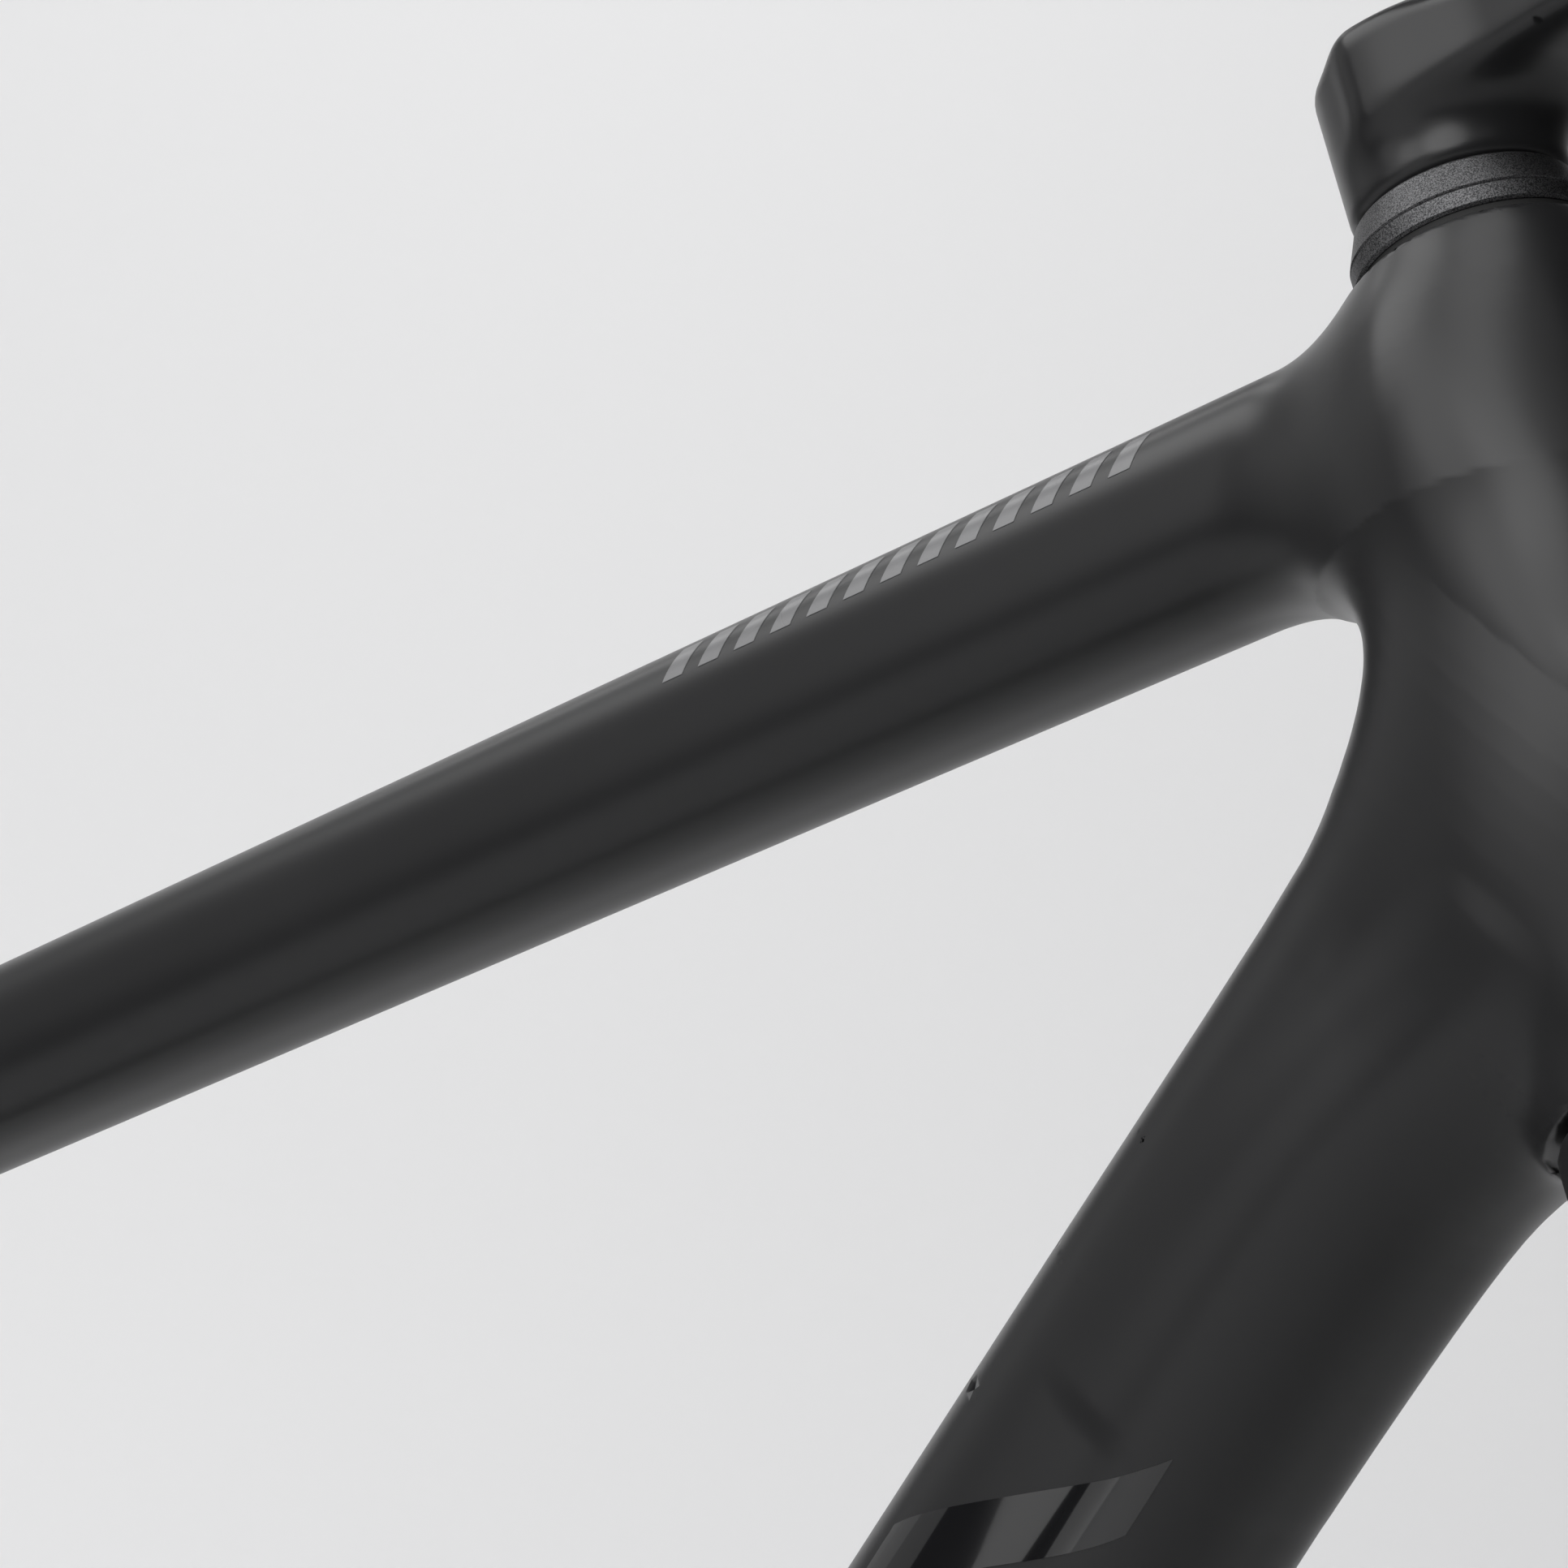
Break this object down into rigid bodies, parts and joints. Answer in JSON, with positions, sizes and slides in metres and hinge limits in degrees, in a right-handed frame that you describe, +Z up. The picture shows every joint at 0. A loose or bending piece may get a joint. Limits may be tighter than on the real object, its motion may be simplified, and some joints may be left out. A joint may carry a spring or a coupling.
{
  "type": "bicycle frame",
  "caption": "Matte black monocoque road bicycle frameset: frame, steering fork with tapered headset and stem, and removable thru-axles.",
  "frame": {"origin": "centre of the bottom bracket shell", "axes": "+X forward, +Y to the rider's left, +Z up"},
  "size_m": [1.0298, 0.1699, 0.6623],
  "materials": {
    "carbon": "fine matte black lacquer over carbon",
    "stem_black": "satin black",
    "anodised_grey": "bead-blasted, dark grey anodised",
    "alloy_black": "satin black anodised",
    "alloy_plain": "machined",
    "bearing_steel": "ground",
    "bolt_steel": "black oxide",
    "plastic_black": "matte",
    "rubber_black": "soft matte"
  },
  "bodies": {
    "frame": {"head_tube": "carbon", "top_tube": "carbon", "down_tube": "carbon", "seat_tube": "carbon", "seat_sleeve": "carbon", "bb_shell": "carbon", "chain_stay_left": "carbon", "chain_stay_right": "carbon", "seat_stay_left": "carbon", "seat_stay_right": "carbon", "dropout_left": "alloy_black", "dropout_right": "alloy_black", "seat_clamp": "alloy_black", "seat_clamp_bolt": "bolt_steel", "derailleur_hanger": "alloy_black", "hanger_bolt": "bolt_steel", "rear_brake_mount": "alloy_black", "chainstay_protector": "rubber_black", "bottle_bosses": "alloy_plain", "port_cover": "plastic_black", "port_cover_bolts": "bolt_steel", "upper_bearing_outer": "bearing_steel", "lower_bearing_outer": "bearing_steel"},
    "steering": {"upper_bearing_inner": "bearing_steel", "lower_bearing_inner": "bearing_steel", "compression_ring": "alloy_plain", "upper_seal": "rubber_black", "bearing_cover": "anodised_grey", "cone_spacer": "anodised_grey", "crown_race": "alloy_plain", "lower_seal": "rubber_black", "steerer": "carbon", "fork_crown": "carbon", "fork_leg_left": "carbon", "fork_leg_right": "carbon", "fork_dropout_left": "alloy_black", "fork_dropout_right": "alloy_black", "front_brake_mount": "alloy_black", "stem_body": "stem_black", "stem_wedge": "alloy_plain", "stem_wedge_bolt": "bolt_steel", "faceplate": "stem_black", "faceplate_bolts": "bolt_steel", "expander_plug": "alloy_plain", "top_cap": "stem_black", "top_cap_bolt": "bolt_steel"},
    "rear_axle_body": {"rear_axle": "alloy_black"},
    "front_axle_body": {"front_axle": "alloy_black"},
    "upper_ball_ring": {"upper_bearing_balls": "bearing_steel"},
    "lower_ball_ring": {"lower_bearing_balls": "bearing_steel"}
  },
  "joints": [
    {"name": "steering_turn", "type": "hinge", "parent": "frame", "child": "steering", "pos_m": [0.396, 0, 0.556], "axis": [-0.2924, 0, 0.9563], "range_deg": [-70, 70]},
    {"name": "upper_balls_turn", "type": "hinge", "parent": "frame", "child": "upper_ball_ring", "pos_m": [0.396, 0, 0.556], "axis": [-0.2924, 0, 0.9563], "range_deg": [-32.99, 32.99]},
    {"name": "lower_balls_turn", "type": "hinge", "parent": "frame", "child": "lower_ball_ring", "pos_m": [0.396, 0, 0.556], "axis": [-0.2924, 0, 0.9563], "range_deg": [-33.34, 33.34]},
    {"name": "rear_axle_slide", "type": "slide", "parent": "frame", "child": "rear_axle_body", "axis": [0, 1, 0], "range_m": [0, 0.165]},
    {"name": "front_axle_slide", "type": "slide", "parent": "steering", "child": "front_axle_body", "axis": [0, 1, 0], "range_m": [0, 0.125]}
  ],
  "couplings": [
    {"joint": "upper_balls_turn", "follows": "steering_turn", "ratio": 0.457},
    {"joint": "lower_balls_turn", "follows": "steering_turn", "ratio": 0.462}
  ]
}
